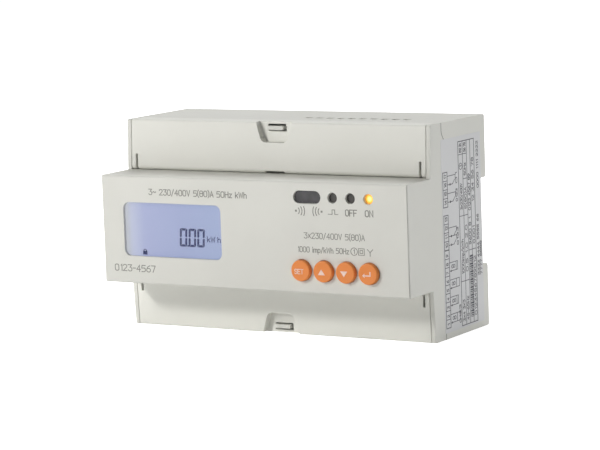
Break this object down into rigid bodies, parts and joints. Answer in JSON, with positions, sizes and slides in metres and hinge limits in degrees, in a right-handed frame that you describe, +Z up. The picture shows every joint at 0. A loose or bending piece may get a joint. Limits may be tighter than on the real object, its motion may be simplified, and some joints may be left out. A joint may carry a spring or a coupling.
{
  "type": "prepaid electricity meter",
  "caption": "Rail-mounted prepaid electricity meter with a lit display, push buttons, signal lamps and two hinged terminal covers.",
  "frame": {"origin": "centre of the flat seat that rests on the mounting rail", "axes": "+X to the right along the rail, +Y into the wall behind the meter, +Z up; the front faces -Y"},
  "size_m": [0.1441, 0.0703, 0.0874],
  "materials": {
    "housing_plastic": "fine matt moulded texture",
    "cover_plastic": "fine matt moulded texture",
    "button_plastic": "satin",
    "clear_window": "clear gloss",
    "display_glass": "gloss, softly lit from behind",
    "backlight_plastic": "satin",
    "infrared_filter": "gloss",
    "light_guide_dark": "gloss",
    "light_guide_lit": "gloss, lit",
    "diode_plastic": "gloss",
    "switch_plastic": "matt",
    "circuit_board": "solder resist over copper",
    "chip_plastic": "matt",
    "battery_sleeve": "shrink sleeve",
    "relay_plastic": "satin",
    "ring_coating": "epoxy coating",
    "transformer_tape": "wound tape",
    "capacitor_sleeve": "shrink sleeve",
    "varistor_coating": "epoxy coating",
    "terminal_plastic": "matt",
    "signal_plastic": "matt",
    "clamp_brass": "plated",
    "screw_steel": "zinc plated",
    "bar_copper": "bare copper",
    "contact_tin": "tin plated",
    "latch_plastic": "matt",
    "spring_steel": "drawn wire",
    "label_film": "satin printed film"
  },
  "bodies": {
    "housing": {"rear_case": "housing_plastic", "front_case": "housing_plastic", "case_screws": "screw_steel", "side_label": "label_film", "display_window": "clear_window", "display_glass": "display_glass", "display_backlight": "backlight_plastic", "display_frame": "backlight_plastic", "display_pins": "contact_tin", "infrared_window": "infrared_filter", "infrared_emitter": "diode_plastic", "infrared_receiver": "diode_plastic", "pulse_light_guide": "light_guide_dark", "off_light_guide": "light_guide_dark", "on_light_guide": "light_guide_lit", "status_leds": "backlight_plastic", "button_switches": "switch_plastic", "main_board": "circuit_board", "microcontroller": "chip_plastic", "metering_chip": "chip_plastic", "memory_chip": "chip_plastic", "backup_battery": "battery_sleeve", "riser_board": "circuit_board", "power_board": "circuit_board", "relay_l1": "relay_plastic", "relay_l2": "relay_plastic", "relay_l3": "relay_plastic", "current_transformer_l1": "ring_coating", "current_transformer_l2": "ring_coating", "current_transformer_l3": "ring_coating", "supply_transformer": "transformer_tape", "supply_capacitors": "capacitor_sleeve", "surge_varistors": "varistor_coating", "supercapacitor": "capacitor_sleeve", "power_terminal_block": "terminal_plastic", "power_clamps": "clamp_brass", "power_clamp_screws": "screw_steel", "power_busbars": "bar_copper", "neutral_link": "bar_copper", "signal_terminal_block": "signal_plastic", "signal_clamps": "clamp_brass", "signal_clamp_screws": "screw_steel", "signal_contacts": "contact_tin", "left_latch_spring": "spring_steel", "right_latch_spring": "spring_steel"},
    "upper_cover": {"upper_cover": "cover_plastic"},
    "lower_cover": {"lower_cover": "cover_plastic"},
    "set_key": {"set_button": "button_plastic", "set_plunger": "switch_plastic"},
    "up_key": {"up_button": "button_plastic", "up_plunger": "switch_plastic"},
    "down_key": {"down_button": "button_plastic", "down_plunger": "switch_plastic"},
    "enter_key": {"enter_button": "button_plastic", "enter_plunger": "switch_plastic"},
    "left_latch": {"left_rail_latch": "latch_plastic"},
    "right_latch": {"right_rail_latch": "latch_plastic"}
  },
  "joints": [
    {"name": "upper_cover_hinge", "type": "hinge", "parent": "housing", "child": "upper_cover", "pos_m": [0, -0.0424, 0.0243], "axis": [1, 0, 0], "range_deg": [0, 90]},
    {"name": "lower_cover_hinge", "type": "hinge", "parent": "housing", "child": "lower_cover", "pos_m": [0, -0.0424, -0.0243], "axis": [-1, 0, 0], "range_deg": [0, 90]},
    {"name": "set_key_press", "type": "slide", "parent": "housing", "child": "set_key", "axis": [0, 1, 0], "range_m": [0, 0.0008], "stiffness_N_per_m": 800, "springref_m": -0.0005},
    {"name": "up_key_press", "type": "slide", "parent": "housing", "child": "up_key", "axis": [0, 1, 0], "range_m": [0, 0.0008], "stiffness_N_per_m": 800, "springref_m": -0.0005},
    {"name": "down_key_press", "type": "slide", "parent": "housing", "child": "down_key", "axis": [0, 1, 0], "range_m": [0, 0.0008], "stiffness_N_per_m": 800, "springref_m": -0.0005},
    {"name": "enter_key_press", "type": "slide", "parent": "housing", "child": "enter_key", "axis": [0, 1, 0], "range_m": [0, 0.0008], "stiffness_N_per_m": 800, "springref_m": -0.0005},
    {"name": "left_latch_slide", "type": "slide", "parent": "housing", "child": "left_latch", "axis": [0, 0, -1], "range_m": [0, 0.0035], "stiffness_N_per_m": 1200, "springref_m": -0.002, "deforming": ["left_latch_spring"]},
    {"name": "right_latch_slide", "type": "slide", "parent": "housing", "child": "right_latch", "axis": [0, 0, -1], "range_m": [0, 0.0035], "stiffness_N_per_m": 1200, "springref_m": -0.002, "deforming": ["right_latch_spring"]}
  ]
}
